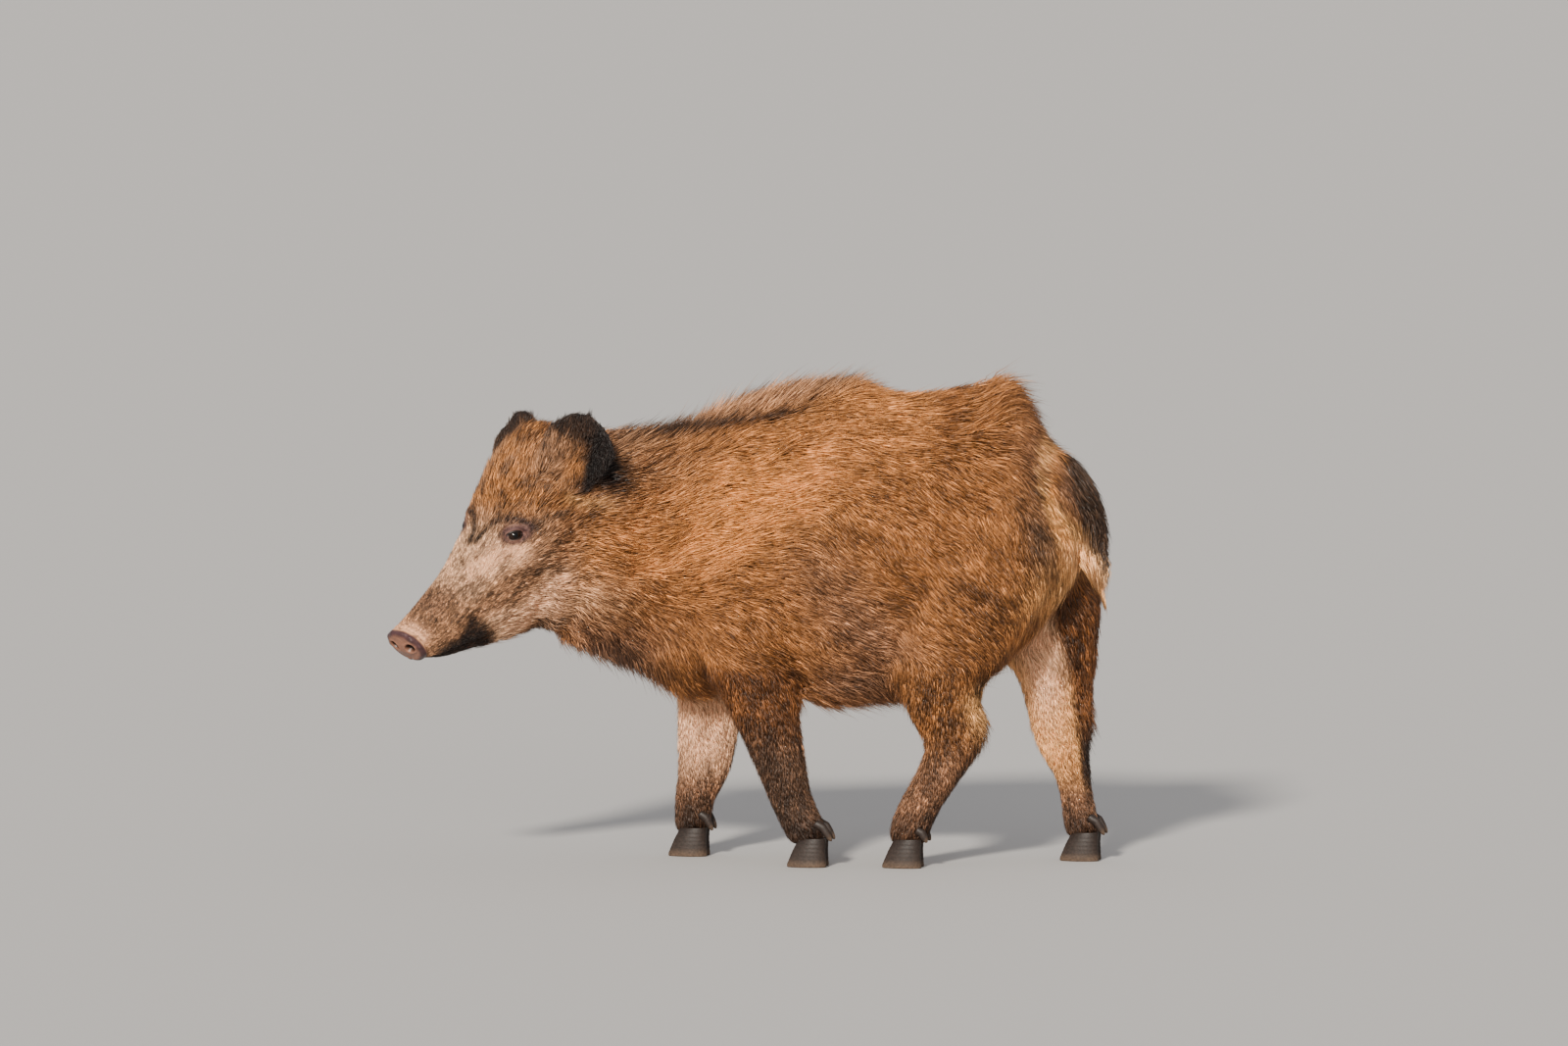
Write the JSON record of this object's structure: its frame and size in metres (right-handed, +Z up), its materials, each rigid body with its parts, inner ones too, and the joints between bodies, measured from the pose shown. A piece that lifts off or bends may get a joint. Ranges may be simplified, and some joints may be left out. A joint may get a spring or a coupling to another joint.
{
  "type": "wild boar",
  "caption": "Young wild boar in a brown winter coat, walking slowly with its head lowered and turned to its left, as a still life-size animal model.",
  "frame": {"origin": "on the floor under the middle of the model's box", "axes": "+X from the head towards the tail, +Y to the animal's right side, +Z up"},
  "size_m": [0.926, 0.4264, 0.6571],
  "materials": {
    "coat": "coarse bristly fur, orange-brown to grey-brown",
    "bare_skin": "moist bare skin",
    "eye": "wet gloss",
    "horn": "worn horn"
  },
  "bodies": {
    "root": {"trunk": "coat", "neck": "coat", "head": "coat", "tail": "coat", "ear_left": "coat", "ear_right": "coat", "leg_front_left": "coat", "leg_front_right": "coat", "leg_hind_left": "coat", "leg_hind_right": "coat", "snout_disc": "bare_skin", "eye_left": "eye", "eye_right": "eye", "hoof_front_left_outer": "horn", "dewclaw_front_left_outer": "horn", "hoof_front_left_inner": "horn", "dewclaw_front_left_inner": "horn", "hoof_front_right_outer": "horn", "dewclaw_front_right_outer": "horn", "hoof_front_right_inner": "horn", "dewclaw_front_right_inner": "horn", "hoof_hind_left_outer": "horn", "dewclaw_hind_left_outer": "horn", "hoof_hind_left_inner": "horn", "dewclaw_hind_left_inner": "horn", "hoof_hind_right_outer": "horn", "dewclaw_hind_right_outer": "horn", "hoof_hind_right_inner": "horn", "dewclaw_hind_right_inner": "horn"}
  },
  "joints": []
}
